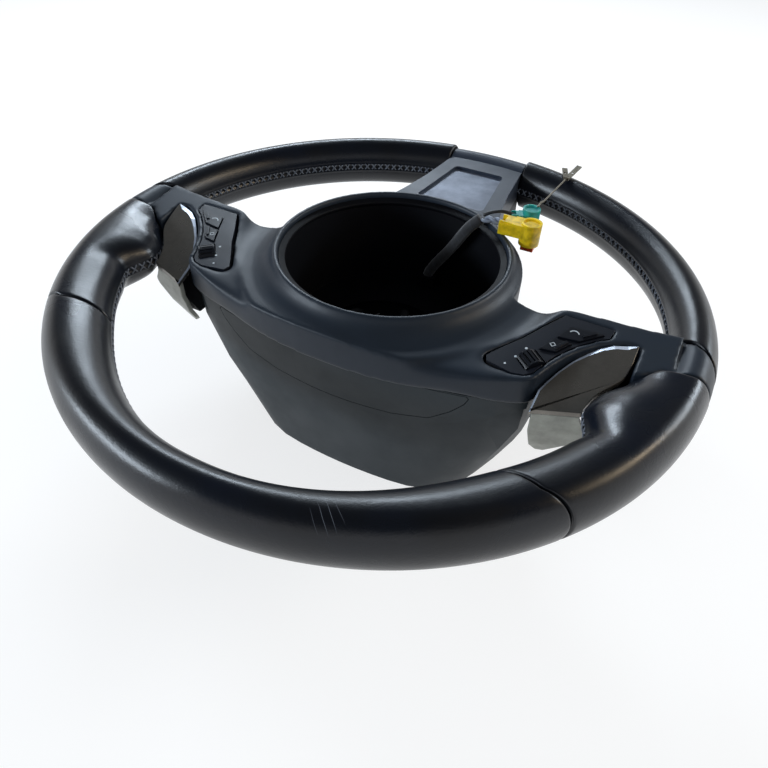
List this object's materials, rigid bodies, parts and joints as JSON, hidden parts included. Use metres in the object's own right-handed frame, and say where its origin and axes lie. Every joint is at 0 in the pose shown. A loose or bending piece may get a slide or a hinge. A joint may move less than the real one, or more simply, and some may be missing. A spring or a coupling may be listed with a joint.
{
  "type": "car steering wheel",
  "caption": "Three-spoke car steering wheel with a leather rim, thumb grips, spoke keys, shift switches and an open airbag cup with its loose harness.",
  "frame": {"origin": "on the steering column's axis, on the plane that the rear cover rests on", "axes": "+X to the driver's right, +Y to the 12 o'clock point of the rim, +Z along the column towards the driver"},
  "size_m": [0.38, 0.3798, 0.1437],
  "materials": {
    "leather_black": "smooth, worn to a gloss",
    "foam_dark": "matt",
    "casting": "as cast",
    "cover_slate": "soft touch",
    "cover_rear": "fine grain",
    "cup_black": "matt",
    "switch_dark": "satin",
    "key_black": "satin",
    "plate_bronze": "satin",
    "skirt_grey": "satin",
    "core_black": "gloss",
    "spoke_violet": "satin",
    "spoke_back": "fine grain",
    "steel": "bright",
    "tape_black": "cloth tape",
    "lead_black": "satin",
    "lead_grey": "satin",
    "plug_teal": "satin",
    "plug_yellow": "satin",
    "latch_orange": "satin",
    "wire_bare": "dull"
  },
  "bodies": {
    "wheel": {"armature": "casting", "rim_core": "casting", "rim_foam": "foam_dark", "leather_top": "leather_black", "leather_grip_left": "leather_black", "leather_grip_right": "leather_black", "leather_lower_left": "leather_black", "leather_lower_right": "leather_black", "front_cover": "cover_slate", "cup_liner": "cup_black", "rear_cover": "cover_rear", "rear_panel": "cover_rear", "bottom_spoke_face": "spoke_violet", "bottom_spoke_back": "spoke_back", "switch_panel_left": "switch_dark", "switch_panel_right": "switch_dark", "roller_axles": "steel", "shift_brackets": "casting", "shift_pins": "steel", "retaining_springs": "steel", "cover_screws": "steel", "harness_clip": "cup_black", "harness_bundle": "tape_black", "teal_lead": "lead_black", "yellow_leads": "lead_grey", "teal_plug": "plug_teal", "yellow_plug": "plug_yellow", "plug_latch": "latch_orange", "tail_wire": "wire_bare", "tail_terminals": "wire_bare"},
    "upper_key_left_body": {"upper_key_left": "key_black"},
    "upper_key_right_body": {"upper_key_right": "key_black"},
    "lower_key_left_body": {"lower_key_left": "key_black"},
    "lower_key_right_body": {"lower_key_right": "key_black"},
    "roller_left_body": {"roller_left": "key_black"},
    "roller_right_body": {"roller_right": "key_black"},
    "shift_switch_left": {"shift_plate_left": "plate_bronze", "shift_skirt_left": "skirt_grey", "shift_core_left": "core_black"},
    "shift_switch_right": {"shift_plate_right": "plate_bronze", "shift_skirt_right": "skirt_grey", "shift_core_right": "core_black"}
  },
  "joints": [
    {"name": "upper_key_left_press", "type": "slide", "parent": "wheel", "child": "upper_key_left_body", "axis": [0, 0.1288, 0.9917], "range_m": [-0.0008, 0], "stiffness_N_per_m": 1500},
    {"name": "upper_key_right_press", "type": "slide", "parent": "wheel", "child": "upper_key_right_body", "axis": [0, 0.1288, 0.9917], "range_m": [-0.0008, 0], "stiffness_N_per_m": 1500},
    {"name": "lower_key_left_press", "type": "slide", "parent": "wheel", "child": "lower_key_left_body", "axis": [0, 0.1288, 0.9917], "range_m": [-0.0008, 0], "stiffness_N_per_m": 1500},
    {"name": "lower_key_right_press", "type": "slide", "parent": "wheel", "child": "lower_key_right_body", "axis": [0, 0.1288, 0.9917], "range_m": [-0.0008, 0], "stiffness_N_per_m": 1500},
    {"name": "roller_left_turn", "type": "hinge", "parent": "wheel", "child": "roller_left_body", "pos_m": [-0.1028, 0.03503, 0.11722], "axis": [-0.766, 0.6374, -0.0828], "continuous": true},
    {"name": "roller_right_turn", "type": "hinge", "parent": "wheel", "child": "roller_right_body", "pos_m": [0.1028, 0.03503, 0.11722], "axis": [0.766, 0.6374, -0.0828], "continuous": true},
    {"name": "shift_switch_left_tilt", "type": "hinge", "parent": "wheel", "child": "shift_switch_left", "pos_m": [-0.13125, 0.024, 0.0975], "axis": [1, 0, 0], "range_deg": [-2, 2], "stiffness_Nm_per_rad": 4},
    {"name": "shift_switch_right_tilt", "type": "hinge", "parent": "wheel", "child": "shift_switch_right", "pos_m": [0.13125, 0.024, 0.0975], "axis": [1, 0, 0], "range_deg": [-2, 2], "stiffness_Nm_per_rad": 4}
  ]
}
